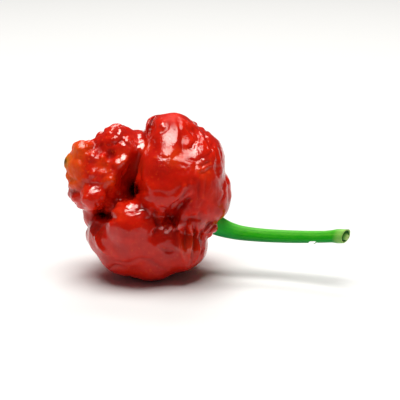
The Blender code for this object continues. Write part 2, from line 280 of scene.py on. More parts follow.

# Colours of the fruit's skin beside those in its settings.
# Painted shade: the dark red of the skin in its hollows and folds.
HOLLOW_SHADE_RED = (0.30, 0.003, 0.002)
# Painted light: the lighter, more orange red of the skin's bumps and ridges.
RAISED_LIGHT_RED = (0.85, 0.035, 0.004)
ORANGE_TINT = (0.80, 0.055, 0.003)
# Painted shade: the dark red of the pit, the dents and the crevices by them.
SHADE_TINT_RED = (0.3, 0.002, 0.001)
SPECK_ORANGE = (0.85, 0.09, 0.01)
OLIVE = (0.42, 0.22, 0.01)
SCAR_COLOUR = (0.012, 0.03, 0.006)
# How light wanders in the fruit's flesh: how much of it, how many metres, and how far each colour.
FLESH = {
    "Subsurface Weight": 0.2, "Subsurface Scale": 0.0016, "Subsurface Radius": (1.0, 0.22, 0.1),
}
# Greens of the calyx and the stem. The stem's side has its colour in the settings.
# Painted light and shade: each green runs from its under colour below to its top colour above, by
# the way each place faces.
CALYX_GREENS = Greens((0.16, 0.50, 0.06), (0.05, 0.42, 0.05), (0.01, 0.28, 0.06), (0.3, 0.5, 0.12))
STEM_GREENS = Greens((0.09, 0.50, 0.03), None, (0.001, 0.23, 0.03), (0.46, 0.66, 0.20))
# Painted light near the fruit, against the crown's shadow and the red light off the skin: its green
# underneath and on top.
PAINTED_LIGHT_ROOT_UNDER = (0.001, 0.42, 0.10)
PAINTED_LIGHT_ROOT_TOP = (0.08, 0.90, 0.07)
# The darker green of the sunk hollow in the cut end.
HOLLOW_DARK_GREEN = (0.002, 0.09, 0.008)

# The calyx: where its seat lies on the fruit, how far its axis tips down, and its size.
CALYX_SEAT = (14.4, 0.6, 18.2)
CALYX_TIP_DOWN = math.radians(29)
CALYX_RADIUS = 5.9
CALYX_NECK_RADIUS = 4.0
CALYX_TEETH = 5
# Outlines of the calyx and of the seat cut for it: radius and height, from the top to the bottom.
CALYX_PROFILE = (
    (0.0, 3.2), (3.5, 3.3), (4.0, 3.0), (4.12, 2.5), (4.4, 2.1), (4.9, 1.5),
    (5.55, 0.9), (5.9, 0.45), (5.95, 0.2), (5.7, 0.0), (4.4, 0.1), (0.0, 0.1),
)
SEAT_PROFILE = ((0.0, 16.0), (7.4, 16.0), (5.3, 3.5), (6.0, 1.2), (6.0, -0.1), (0.0, -0.1))
CALYX_SIDES = 80
SEAT_SIDES = 48

# The stem: points down its middle with the radius there, from the calyx to the swollen cut end.
STEM_COURSE = (
    ((16.9, 0.55, 16.85), 4.05), ((17.7, 0.55, 16.4), 3.75), ((19.2, 0.45, 15.55), 3.2),
    ((21.5, 0.3, 14.45), 2.85), ((24.0, 0.0, 13.6), 2.5), ((27.5, -0.5, 12.9), 2.22),
    ((34.0, -1.8, 12.55), 2.02), ((43.0, -4.3, 12.85), 1.9), ((51.5, -7.4, 13.75), 1.78),
    ((54.0, -8.45, 14.2), 1.85), ((55.6, -9.15, 14.45), 2.1), ((57.4, -9.95, 14.7), 2.05),
    ((59.4, -10.85, 15.0), 1.95), ((61.4, -11.75, 15.3), 1.85),
)
STEM_STATIONS = 220
STEM_RIBS, STEM_FINE_RIBS = 5, 11
# From where to where along X the painted light of the calyx, near the fruit, passes into the stem's
# own green.
ROOT_LIGHT_FROM, ROOT_LIGHT_TO = 19.0, 28.0
# The oblique cut at the end: its middle, the way it faces, and for each step from its rim down into
# the hollow and up its middle, how much smaller it is, how far it rises, how pale it is and how
# much of the hollow's darker green it takes. Each step also drifts a little further.
CUT_PLACE = (57.9, -10.15, 14.8)
CUT_FACING = (0.72, -0.69, -0.12)
CUT_STEPS = (
    CutStep(0.84, 0.0, 1.0, 0.0),
    CutStep(0.93, -0.5, 0.0, 1.0),
    CutStep(0.72, -0.4, 0.1, 0.8),
    CutStep(0.6, 0.55, 0.9, 0.0),
)
CUT_DRIFT = (0.12, -0.1, -0.08)
# How pale the skin is by the cut, and how that fades with each millimetre from it.
PALE_END, PALE_START, PALE_FADE = 0.45, 1.5, 0.55
# The nick in the stem's underside: from and to along X, its depth, the slope of its far end and the
# length in which it reaches its depth. Then the torn fibre beside it, which narrows with each step.
NICK_FROM, NICK_TO, NICK_DEPTH = 47.2, 49.9, 0.75
NICK_FAR_SLOPE, NICK_RUN = 0.45, 0.35
FIBRE_ROOT = (49.5, -7.6, 11.9)
FIBRE_STEPS = ((-0.3, 0.0, -0.25), (-0.35, 0.0, -0.3), (-0.3, 0.0, 0.0))
FIBRE_TAPER = 0.75


def mm(*lengths):
    """Millimetres as metres: one number, or a vector of three."""
    metres = [length * 0.001 for length in lengths]
    return metres[0] if len(metres) == 1 else Vector(metres)


def clamp(value):
    return max(0.0, min(1.0, value))


def of_kind(geometry, kind):
    """The vertices, edges or faces among what a bmesh operator returns."""
    return [item for item in geometry if isinstance(item, kind)]


# Meshes


def lobe_matrix(lobe):
    """The matrix that turns a unit sphere into the lobe."""
    turn = Euler([math.radians(angle) for angle in lobe.turn]).to_matrix().to_4x4()
    size = Matrix.Diagonal((*mm(*lobe.radii), 1.0))
    return Matrix.Translation(mm(*lobe.centre)) @ turn @ size


def link_mesh(name, bm):
    """Makes an object of a bmesh, which is freed."""
    mesh = bpy.data.meshes.new(name)
    bm.to_mesh(mesh)
    bm.free()
    obj = bpy.data.objects.new(name, mesh)
    bpy.context.scene.collection.objects.link(obj)
    return obj


def evaluated_mesh(obj):
    """The object's mesh with its modifiers applied. The object is removed."""
    bpy.context.view_layer.update()
    graph = bpy.context.evaluated_depsgraph_get()
    mesh = bpy.data.meshes.new_from_object(obj.evaluated_get(graph))
    bpy.data.objects.remove(obj)
    return mesh


def add_skin(obj, cell, passes):
    """One closed skin over everything in the object, with its creases softened."""
    skin = obj.modifiers.new("one skin", "REMESH")
    skin.mode = "VOXEL"
    skin.voxel_size = mm(cell)
    soften = obj.modifiers.new("soft creases", "SMOOTH")
    soften.iterations = passes
    soften.factor = 0.5


def swelling(lobes, cell, blend):
    """The mesh of one swelling, whose lobes run together over the blend's length."""
    bm = bmesh.new()
    for lobe in lobes:
        bmesh.ops.create_icosphere(bm, subdivisions=5, radius=1.0, matrix=lobe_matrix(lobe))
    blended = link_mesh("swelling", bm)
    add_skin(blended, cell, round(2.0 * (blend / cell) ** 2))
    return evaluated_mesh(blended)


def turned(profile, segments):
    """A bmesh turned about Z from (radius, height) points listed from the top to the bottom."""
    bm = bmesh.new()
    verts = [bm.verts.new(mm(radius, 0.0, height)) for radius, height in profile]
    edges = [bm.edges.new(pair) for pair in zip(verts, verts[1:])]
    bmesh.ops.spin(
        bm, geom=verts + edges, cent=(0, 0, 0), axis=(0, 0, 1), dvec=(0, 0, 0),
        angle=math.tau, steps=segments, use_merge=True,
    )
    bmesh.ops.remove_doubles(bm, verts=bm.verts, dist=mm(0.005))
    bmesh.ops.recalc_face_normals(bm, faces=bm.faces)
    return bm


def calyx_placement():
    """The matrix that puts the calyx, and the seat for it, where the stem enters the fruit."""
    tip = Matrix.Rotation(math.pi / 2 + CALYX_TIP_DOWN, 4, "Y")
    return Matrix.Translation(mm(*CALYX_SEAT)) @ tip


def cut_seat(mesh):
    """The mesh with the dimple cut out that the calyx sits in."""
    bm = turned(SEAT_PROFILE, SEAT_SIDES)
    bm.transform(calyx_placement())
    cutter = link_mesh("seat_cutter", bm)
    body = bpy.data.objects.new("uncut", mesh)
    bpy.context.scene.collection.objects.link(body)
    cut = body.modifiers.new("calyx seat", "BOOLEAN")
    cut.operation = "DIFFERENCE"
    cut.solver = "EXACT"
    cut.object = cutter
    seated = evaluated_mesh(body)
    bpy.data.objects.remove(cutter)
    return seated


# Shaping a skin by moving its vertices


def ramp(values, low, high):
    """Nought below low, one above high, and a smooth rise between them."""
    share = np.clip((values - low) / (high - low), 0.0, 1.0)
    return share * share * (3.0 - 2.0 * share)


def places_of(mesh):
    """The mesh's vertices in millimetres."""
    flat = np.empty(len(mesh.vertices) * 3, dtype=np.float32)
    mesh.vertices.foreach_get("co", flat)
    return flat.reshape(-1, 3).astype(np.float64) * 1000.0


def normals_of(mesh):
    """The outward directions at the mesh's vertices."""
    flat = np.empty(len(mesh.vertices) * 3, dtype=np.float32)
    mesh.vertex_normals.foreach_get("vector", flat)
    return flat.reshape(-1, 3).astype(np.float64)


def move(mesh, places):
    """Puts the mesh's vertices at places in millimetres."""
    mesh.vertices.foreach_set("co", (places * 0.001).astype(np.float32).ravel())
    mesh.update()


def evened(mesh, passes):
    """The vertices' places after each has moved half way to its neighbours, pass by pass."""
    edges = np.empty(len(mesh.edges) * 2, dtype=np.int32)
    mesh.edges.foreach_get("vertices", edges)
    first, second = edges.reshape(-1, 2).T
    count = np.bincount(edges, minlength=len(mesh.vertices))[:, None]
    places = places_of(mesh)
    for _ in range(passes):
        total = np.zeros_like(places)
        for column in range(3):
            total[:, column] += np.bincount(first, places[second, column], len(places))
            total[:, column] += np.bincount(second, places[first, column], len(places))
        places += 0.5 * (total / count - places)
    return places


def soften(mesh, passes):
    """Evens out the mesh."""
    move(mesh, evened(mesh, passes))


def hollowness(mesh, passes):
    """How deep each vertex lies below its surroundings, in millimetres: below nought on a bump."""
    return ((evened(mesh, passes) - places_of(mesh)) * normals_of(mesh)).sum(axis=1)


def noise_over(places, size, seed):
    """Smooth noise from about -1 to 1 at each place, with lumps of that size."""
    shift = Vector((seed * 17.3, seed * 5.1, seed * 9.7))
    return np.array([noise.noise(Vector(place) / size + shift) for place in places])


def nearest_point(places, size, seed):
    """The distance to the nearest of a scatter of points, in units of their spacing."""
    shift = Vector((seed * 13.7, seed * 3.9, seed * 7.3))
    return np.array([noise.voronoi(Vector(place) / size + shift)[0][0] for place in places])


def picture_places(places):
    """Where the camera sees each place: across and down the picture, in its own frame."""
    up = np.array((0.0, math.sin(CAMERA_ELEVATION), math.cos(CAMERA_ELEVATION)))
    back = np.array(TO_CAMERA)
    offset = places * 0.001 - np.array(LOOK_AT)
    depth = CAMERA_DISTANCE - offset @ back
    scale = PICTURE_SIZE * LENS / SENSOR / depth
    half = PICTURE_SIZE / 2
    return np.stack((half + offset[:, 0] * scale, half - offset @ up * scale), axis=1)


def seen(mesh, places, normals):
    """One where the camera sees a vertex, nought where it doesn't."""
    tree = BVHTree.FromPolygons(
        [vertex.co for vertex in mesh.vertices], [face.vertices for face in mesh.polygons]
    )
    camera = LOOK_AT + TO_CAMERA * CAMERA_DISTANCE
    share = np.zeros(len(places))
    for index in np.nonzero(normals @ np.array(TO_CAMERA) > GRAZING)[0]:
        start = Vector(places[index]) * 0.001
        towards = (camera - start).normalized()
        hit = tree.ray_cast(start + towards * mm(LOOK_START), towards)
        if hit[0] is None:
            share[index] = 1.0
    return share


def off_path(spots, path):
    """How far each spot of the picture is from a path, and how far along the path that is."""
    nearest = np.full(len(spots), np.inf)
    along = np.zeros(len(spots))
    travelled = 0.0
    for start, end in zip(path, path[1:]):
        start, end = np.array(start, float), np.array(end, float)
        run = end - start
        length = math.hypot(*run)
        share = np.clip((spots - start) @ run / length**2, 0.0, 1.0)
        distance = np.hypot(*(spots - start - share[:, None] * run).T)
        closer = distance < nearest
        nearest[closer] = distance[closer]
        along[closer] = travelled + share[closer] * length
        travelled += length
    return nearest, along / travelled


def stroke_relief(spots, stroke):
    """How far a crease or a ridge moves each spot of the picture: it fades towards its ends."""
    distance, along = off_path(spots, stroke.path)
    across = distance / (stroke.width * PIXELS_PER_MM)
    ends = ramp(along, *STROKE_ENDS) * ramp(1.0 - along, *STROKE_ENDS)
    return stroke.height * ends * np.exp(-across * across)


def bump_relief(spots, bump):
    """How far a bump moves each spot of the picture, or how much of a patch there is."""
    distance = np.hypot(*(spots - np.array(bump.place, float)).T)
    across = np.clip(distance / (bump.radius * PIXELS_PER_MM), 0.0, 1.0)
    return bump.height * (1.0 - across * across) ** 2


def flatten(places, normals, spots, front, facet):
    """Presses the skin of one facet towards a plane that faces its way."""
    up, right = (math.radians(angle) for angle in facet.facing)
    facing = np.array((
        math.sin(right) * math.cos(up), -math.cos(right) * math.cos(up), math.sin(up)
    ))
    across = (spots - np.array(facet.place, float)) / np.array(facet.radii, float)
    share = np.clip(1.0 - (across * across).sum(axis=1), 0.0, 1.0) ** 0.75
    share = share * front * ramp(normals @ facing, 0.2, 0.6)
    height = places @ facing
    level = (share * height).sum() / share.sum()
    return places + np.outer((level - height) * share * facet.flatness, facing)


def lift(mesh, relief):
    """Moves each vertex out of the skin by its relief in millimetres."""
    move(mesh, places_of(mesh) + normals_of(mesh) * relief[:, None])


def knob_share(places):
    """One on the knob, nought on the rest of the fruit."""
    return ramp(-places[:, 0], *KNOB_LEFT) * ramp(places[:, 2], *KNOB_UP)


def warts(places, size):
    """Round warts of that spacing, with smaller ones on them."""
    large = np.minimum(nearest_point(places, size, seed=1), 0.9)
    small = np.minimum(nearest_point(places, size * 0.5, seed=2), 0.9)
    return 0.45 - 1.4 * large**2 + 0.2 * (0.4 - 1.3 * small**2)


def pleats(places, spacing):
    """Pleats that run up the skin, with sharp creases between them, and wander to and fro."""
    wander = noise_over(places, size=8.0, seed=3) * 2.6
    return 2.0 * np.abs(np.sin(math.pi * places[:, 0] / spacing + wander)) - 1.2


def grown_relief(places, front, settings):
    """The skin's own relief: lumps, warts on the knob, pleats by the stem and dents behind."""
    knob = knob_share(places)
    side = ramp(places[:, 0], *PLEATS_RIGHT)
    side *= ramp(noise_over(places, size=6.0, seed=4), -0.35, 0.25)
    behind = ramp(places[:, 1], *DENTS_BACK) * (1.0 - knob) * (1.0 - front)
    billows = np.abs(noise_over(places, size=3.6, seed=11)) - 0.25
    lumps = noise_over(places, size=3.2, seed=5) * 0.26
    lumps += noise_over(places, size=1.5, seed=6) * 0.14
    lumps += noise_over(places, size=0.8, seed=9) * 0.05
    dents = np.abs(noise_over(places, size=7.5, seed=12)) - 0.25
    dents += 0.3 * np.abs(noise_over(places, size=3.0, seed=13))
    relief = knob * (1.0 - 0.95 * front) * settings.wart_height * warts(places, settings.wart_size)
    relief += knob * (1.1 - 0.5 * front) * billows
    pleated = side * (1.0 - 0.5 * front) * settings.pleat_height
    relief += pleated * pleats(places, settings.pleat_spacing)
    relief += (0.4 + 0.7 * np.maximum(knob, side)) * lumps
    return relief + behind * settings.dent_height * dents


def shape_fruit(mesh, settings):
    """Presses in the shapes that the camera sees, then gives the whole skin its own relief."""
    places = places_of(mesh)
    normals = normals_of(mesh)
    front = seen(mesh, places, normals)
    wander = [noise_over(places, size=4.0, seed=seed) for seed in (7, 8)]
    spots = picture_places(places) + np.stack(wander, axis=1) * WANDER
    for facet in FACETS:
        places = flatten(places, normals, spots, front, facet)
    for hole in HOLES:
        places += np.outer(stroke_relief(spots, hole) * front, np.array(TO_CAMERA))
    move(mesh, places)
    soften(mesh, passes=4)
    front *= ramp(normals @ np.array(TO_CAMERA), 0.1, 0.4)
    relief = sum(stroke_relief(spots, fold) for fold in FOLDS)
    relief += sum(bump_relief(spots, bump) for bump in BUMPS)
    lift(mesh, relief * front)
    soften(mesh, passes=1)
    lift(mesh, grown_relief(places, front, settings))
    soften(mesh, passes=1)
    flatten_underside(mesh)


def flatten_underside(mesh):
    """Flattens what would lie below the surface that the fruit rests on."""
    places = places_of(mesh)
    places[:, 2] = np.maximum(places[:, 2], 0.0)
    move(mesh, places)


def store(mesh, name, values):
    """Keeps a number for each vertex, which the material reads by that name."""
    layer = mesh.attributes.new(name, "FLOAT", "POINT")
    layer.data.foreach_set("value", values.astype(np.float32))


def paint_fruit(mesh):
    """Stores what the fruit's material reads: where it is orange, hollow, glossy and so on, and
    where it gets painted shade.
    """
    places = places_of(mesh)
    tip = ramp(-places[:, 0], *ORANGE_LEFT) * ramp(places[:, 2], *ORANGE_UP)
    store(mesh, "tip", tip * (1.0 - ramp(places[:, 2], *ORANGE_END)))
    # How deep each place lies, from which the material paints shade in hollows and light on bumps.
    store(mesh, "hollow", hollowness(mesh, passes=24))
    spots = picture_places(places)
    front = seen(mesh, places, normals_of(mesh))
    tint, glossy, dull, crinkled = (
        sum(bump_relief(spots, patch) for patch in patches) * front
        for patches in (TINTS_AND_SHADE, GLOSSY_PATCHES, DULL_PATCHES, CRINKLED_PATCHES)
    )
    # More orange skin above nought, painted shade below nought.
    store(mesh, "tint", tint)
    store(mesh, "glossy", glossy)
    store(mesh, "dull", dull)
    store(mesh, "crinkled", np.maximum(crinkled, knob_share(places)))
    from_scar = np.linalg.norm(places - np.array(SCAR_PLACE), axis=1)
    store(mesh, "scar", 1.0 - ramp(from_scar, *SCAR_FADE))
    store(mesh, "olive", 1.0 - ramp(from_scar, *OLIVE_FADE))


# Materials


class Socket:
    """A socket in a material, on which Python's arithmetic adds Math nodes."""

    def __init__(self, paint, link):
        self.paint = paint
        self.link = link

    def math(self, operation, first, second):
        return self.paint.node("ShaderNodeMath", {"operation": operation}, {0: first, 1: second})

    def __add__(self, other):
        return self.math("ADD", self, other)

    def __sub__(self, other):
        return self.math("SUBTRACT", self, other)

    def __rsub__(self, other):
        return self.math("SUBTRACT", other, self)

    def __mul__(self, other):
        return self.math("MULTIPLY", self, other)

    __radd__ = __add__
    __rmul__ = __mul__


class Paint:
    """One material, with its Principled shader and the nodes that feed it."""

    def __init__(self, name, constants):
        self.material = bpy.data.materials.new(name)
        self.material.use_nodes = True
        self.tree = self.material.node_tree
        self.shader = self.tree.nodes["Principled BSDF"]
        for socket, value in constants.items():
            self.shader.inputs[socket].default_value = value

    def node(self, kind, settings=None, sockets=None, output=0):
        """Adds a node: its settings first, then its sockets' values or links."""
        added = self.tree.nodes.new(kind)
        for name, value in (settings or {}).items():
            if name == "stops":
                self.set_stops(added.color_ramp, value)
            else:
                setattr(added, name, value)
        for name, value in (sockets or {}).items():
            self.connect(value, added.inputs[name])
        return Socket(self, added.outputs[output])

    def connect(self, value, target):
        """Links a socket to the target, or sets the target to a plain value."""
        if isinstance(value, Socket):
            self.tree.links.new(value.link, target)
        else:
            target.default_value = value

    @staticmethod
    def set_stops(color_ramp, stops):
        """Gives a colour ramp its stops, each a position and a level."""
        while len(color_ramp.elements) < len(stops):
            color_ramp.elements.new(1.0)
        for element, (position, value) in zip(color_ramp.elements, stops):
            element.position = position
            element.color = (value, value, value, 1.0)

    def attribute(self, name):
        """A number stored on the piece's vertices."""
        return self.node("ShaderNodeAttribute", {"attribute_name": name}, output="Fac")

    def noise(self, size, detail=2.0, roughness=0.5):
        """Noise from 0 to 1 with lumps of that size in millimetres."""
        coordinates = self.node("ShaderNodeTexCoord", output="Object")
        return self.noise_along(coordinates, 1000.0 / size, detail, roughness)

    def noise_along(self, vector, scale, detail, roughness):
        """Noise from 0 to 1 over a vector of the piece's own."""
        return self.node("ShaderNodeTexNoise", sockets={
            "Vector": vector, "Scale": scale, "Detail": detail, "Roughness": roughness,
        })

    def steps(self, value, *stops):
        """The value through a ramp of (position, level) stops."""
        return self.node("ShaderNodeValToRGB", {"stops": stops}, {"Fac": value})

    def mix(self, factor, first, second):
        """A colour between two, by the factor. A colour is a socket, or red, green and blue."""
        first, second = (
            colour if isinstance(colour, Socket) else (*colour, 1.0) for colour in (first, second)
        )
        return self.node(
            "ShaderNodeMix", {"data_type": "RGBA"}, {0: factor, 6: first, 7: second}, output=2
        )

    def bump(self, height, distance, strength):
        """A normal for a relief, with the distance in millimetres."""
        return self.node("ShaderNodeBump", sockets={
            "Height": height, "Distance": mm(distance), "Strength": strength,
        })

    def feed(self, sockets):
        """Links or sets sockets of the material's own shader."""
        for name, value in sockets.items():
            self.connect(value, self.shader.inputs[name])
        return self.material

    def cover(self, share, shader):
        """Lays another shader over the material's own by the share."""
        surface = self.tree.nodes["Material Output"].inputs["Surface"]
        below = Socket(self, surface.links[0].from_socket)
        mixed = self.node("ShaderNodeMixShader", sockets={0: share, 1: below, 2: shader})
        self.connect(mixed, surface)
        return self.material


def skin_material(settings):
    """Red waxy skin: mottled, with painted shade in its folds, hollows and dents and painted light
    on its bumps, orange at the blossom end, unevenly glossy.
    """
    paint = Paint("red_pepper_skin", {"IOR": 1.4, **FLESH})
    mottle = paint.steps(paint.noise(6.0, 3.0, 0.6), (0.35, 0.0), (0.68, 1.0))
    skin = paint.mix(mottle, settings.skin_colour, settings.deep_colour)
    # Painted shade in the skin's hollows and folds, by how deep each place lies.
    hollow = paint.steps(paint.attribute("hollow") * 0.8 + 0.5, (0.45, 0.0), (0.85, 1.0))
    skin = paint.mix(hollow * 0.75, skin, HOLLOW_SHADE_RED)
    # Painted light on the skin's bumps and ridges, by how far each place stands out.
    raised_light = paint.steps(paint.attribute("hollow") * -0.9 + 0.4, (0.5, 0.0), (1.0, 1.0))
    skin = paint.mix(raised_light * 0.35, skin, RAISED_LIGHT_RED)
    tint = paint.attribute("tint")
    skin = paint.mix(paint.steps(tint, (0.0, 0.0), (0.8, 0.8)), skin, ORANGE_TINT)
    # Painted shade where the tint falls below nought.
    skin = paint.mix(paint.steps(tint * -1.0, (0.0, 0.0), (0.8, 0.8)), skin, SHADE_TINT_RED)
    speck = paint.steps(paint.noise(1.3, 2.0, 0.6), (0.6, 0.0), (0.72, 1.0))
    skin = paint.mix(speck * (paint.attribute("crinkled") * 0.3 + 0.2), skin, SPECK_ORANGE)
    tip = paint.attribute("tip") * paint.steps(paint.noise(3.0), (0.25, 0.55), (0.6, 1.0))
    skin = paint.mix(tip, skin, settings.tip_colour)
    skin = paint.mix(paint.attribute("olive") * 0.6, skin, OLIVE)
    skin = paint.mix(paint.attribute("scar"), skin, SCAR_COLOUR)
    crinkles = paint.attribute("crinkled") * 1.8 + 0.5
    relief = paint.noise(1.1, 2.0, 0.55) * crinkles + paint.noise(2.6) * 1.5
    same = {"Base Color": skin, "Normal": paint.bump(relief, 0.12, 0.7)}
    paint.feed({**same, "Roughness": paint.noise(2.0) * 0.12 + 0.09})
    wet = paint.node("ShaderNodeBsdfPrincipled", sockets={
        **same, **FLESH, "Roughness": paint.noise(2.0) * 0.1 + 0.06, "IOR": 2.0,
    })
    dull = paint.node("ShaderNodeBsdfPrincipled", sockets={
        **same, **FLESH, "Roughness": 0.5, "Specular IOR Level": 0.1,
    })
    paint.cover(paint.steps(paint.attribute("glossy"), (0.0, 0.0), (0.8, 1.0)), wet)
    return paint.cover(paint.steps(paint.attribute("dull"), (0.0, 0.0), (1.0, 1.0)), dull)


def green_material(name, greens):
    """Green skin with darker and paler lines along it, painted shade below, painted light above and
    near the fruit, and a painted sheen line, read from the piece's own attributes.
    """
    paint = Paint(name, {
        "IOR": 1.42, "Specular IOR Level": 0.12,
        "Subsurface Weight": 0.1, "Subsurface Scale": 0.0008,
    })
    grain = paint.node("ShaderNodeAttribute", {"attribute_name": "grain"}, output="Vector")
    stretch = paint.node(
        "ShaderNodeVectorMath", {"operation": "MULTIPLY"}, {0: grain, 1: (1.0, 1.0, 0.12)}
    )
    streaks = paint.noise_along(stretch, 2.6, 3.0, 0.6)
    lines = paint.noise_along(stretch, 7.0, 2.0, 0.5)
    # Painted shade underneath and painted light on top, by how far up each place faces.
    facing_up = paint.attribute("up") + (streaks - 0.5) * 0.35
    green = paint.mix(paint.steps(facing_up, (0.15, 0.0), (0.42, 1.0)), greens.under, greens.side)
    green = paint.mix(paint.steps(facing_up, (0.55, 0.0), (0.9, 1.0)), green, greens.top)
    # A painted sheen: a pale line along the piece where it faces a little downwards.
    painted_sheen_line = paint.steps(paint.attribute("up"), (0.24, 0.0), (0.3, 0.5), (0.38, 0.0))
    green = paint.mix(painted_sheen_line * lines, green, greens.top)
    green = paint.mix(paint.steps(lines, (0.5, 0.0), (0.75, 0.45)), green, greens.under)
    # Painted light on the calyx and the stem's root, against the crown's shadow.
    root_painted_light = paint.mix(facing_up, PAINTED_LIGHT_ROOT_UNDER, PAINTED_LIGHT_ROOT_TOP)
    green = paint.mix(paint.attribute("root") * 0.85, green, root_painted_light)
    green = paint.mix(paint.attribute("pale"), green, greens.pale)
    # Darker green in the sunk hollow of the cut.
    green = paint.mix(paint.attribute("pith"), green, HOLLOW_DARK_GREEN)
    relief = streaks + lines * 0.5 + paint.noise(0.5) * 0.3
    return paint.feed({
        "Base Color": green,
        "Roughness": paint.noise(1.5) * 0.15 + 0.3,
        "Normal": paint.bump(relief, 0.15, 0.6),
    })


# The pieces


def length_setting(name, description, default):
    return FloatProperty(name=name, description=f"{description}, in millimetres", default=default)


def colour_setting(name, description, default):
    return FloatVectorProperty(name=name, description=description, subtype="COLOR", default=default)


def power_setting(name, description, default):
    return FloatProperty(name=name, description=description, subtype="POWER", default=default)


class FruitSettings(PropertyGroup):
    skin_cell: length_setting("Skin cell", "Size of the skin's faces", 0.338)
    wart_size: length_setting("Wart size", "Spacing of the knob's warts", 3.3)
    wart_height: length_setting("Wart height", "Height of the knob's warts", 1.2)
    pleat_spacing: length_setting("Pleat spacing", "Spacing of the pleats", 2.5)
    pleat_height: length_setting("Pleat height", "Height of the pleats", 0.3)
    dent_height: length_setting("Dent height", "Height between the dents behind", 1.1)
    skin_colour: colour_setting("Skin", "Ripe skin", (0.68, 0.013, 0.002))
    deep_colour: colour_setting("Deep skin", "Darker patches", (0.5, 0.006, 0.0015))
    tip_colour: colour_setting("Blossom end", "Orange of the blossom end", (0.96, 0.135, 0.012))


class StemSettings(PropertyGroup):
    sides: IntProperty(name="Sides", description="Faces around the stem", default=56, min=12)
    rib_height: FloatProperty(
        name="Rib height", description="Height of the stem's ribs, as a share of its radius",
        default=0.045,
    )
    colour: colour_setting("Stem", "Green of the stem's side", (0.012, 0.44, 0.004))


class StudioSettings(PropertyGroup):
    floor_colour: colour_setting("Floor", "The pale floor", (0.77, 0.785, 0.82))
    key_power: power_setting("Key light", "Power of the large front light", 20.0)
    back_power: power_setting("Back light", "Power of the light behind", 12.0)


class PEPPER_OT_fruit(Operator):
    """Builds the fruit's skin: its swellings, folds, warts and pleats"""

    bl_idname = "pepper.fruit"
    bl_label = "Fruit"

    def execute(self, context):
        settings = context.scene.pepper_fruit
        bm = bmesh.new()
        for lobes in (CROWN, BELLY, KNOB, SHOULDER, SKIRT):
            bm.from_mesh(swelling(lobes, LOBE_CELL, LOBE_BLEND))
        whole = link_mesh("whole", bm)
        add_skin(whole, WHOLE_CELL, passes=2)
        seated = cut_seat(evaluated_mesh(whole))
        skin = bpy.data.objects.new("fruit_skin", seated)
        context.scene.collection.objects.link(skin)
        add_skin(skin, settings.skin_cell, passes=3)
        mesh = evaluated_mesh(skin)
        shape_fruit(mesh, settings)
        paint_fruit(mesh)
        mesh.shade_smooth()
        mesh.materials.clear()
        mesh.materials.append(skin_material(settings))
        skin = bpy.data.objects.new("fruit_skin", mesh)
        context.scene.collection.objects.link(skin)
        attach(skin, BODY)
        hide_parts("fruit")
        return {"FINISHED"}


def finish_green(obj, name, greens):
    """Smooths a green piece, keeps how far up each vertex faces, and gives it its material."""
    obj.data.shade_smooth()
    store(obj.data, "up", normals_of(obj.data)[:, 2] * 0.5 + 0.5)
    obj.data.materials.append(green_material(name, greens))


class PEPPER_OT_calyx(Operator):
    """Builds the green cup that joins the fruit to its stem"""

    bl_idname = "pepper.calyx"
    bl_label = "Calyx"

    def execute(self, context):
        bm = turned(CALYX_PROFILE, CALYX_SIDES)
        grain = bm.verts.layers.float_vector.new("grain")
        root = bm.verts.layers.float.new("root")
        for vertex in bm.verts:
            # The whole calyx takes the painted light near the fruit.
            vertex[root] = 1.0
            radius = math.hypot(vertex.co.x, vertex.co.y) * 1000.0
            angle = math.atan2(vertex.co.y, vertex.co.x)
            edge_share = ramp(radius, CALYX_NECK_RADIUS, CALYX_RADIUS)
            tooth = math.cos(CALYX_TEETH * angle + 0.4 * math.sin(angle))
            rib = 0.03 * tooth + 0.012 * math.cos(3 * CALYX_TEETH * angle)
            growth = 1.0 - edge_share * 0.07 * (1.0 - tooth) + rib * (1.0 - 0.5 * edge_share)
            vertex[grain] = (math.cos(angle), math.sin(angle), radius * 0.1)
            vertex.co.x *= growth
            vertex.co.y *= growth
        bm.transform(calyx_placement())
        calyx = link_mesh("calyx_cup", bm)
        finish_green(calyx, "calyx_green", CALYX_GREENS)
        rounding = calyx.modifiers.new("rounding", "SUBSURF")
        rounding.levels = rounding.render_levels = 1
        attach(calyx, BODY)
        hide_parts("calyx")
        return {"FINISHED"}


def stem_stations(count):
    """Places and radii along the stem, on a smooth curve through its course."""
    course = [np.array((*place, radius)) for place, radius in STEM_COURSE]
    lengths = [0.0]
    for first, second in zip(course, course[1:]):
        lengths.append(lengths[-1] + np.linalg.norm((second - first)[:3]))
    slopes = []
    for index in range(len(course)):
        before, after = max(index - 1, 0), min(index + 1, len(course) - 1)
        slopes.append((course[after] - course[before]) / (lengths[after] - lengths[before]))
    stations = []
    for travelled in np.linspace(0.0, lengths[-1], count):
        index = min(np.searchsorted(lengths, travelled, side="right") - 1, len(course) - 2)
        run = lengths[index + 1] - lengths[index]
        t = (travelled - lengths[index]) / run
        stations.append(
            course[index] * (1 + 2 * t) * (1 - t) ** 2 + slopes[index] * run * t * (1 - t) ** 2
            + course[index + 1] * t * t * (3 - 2 * t) - slopes[index + 1] * run * t * t * (1 - t)
        )
    return stations


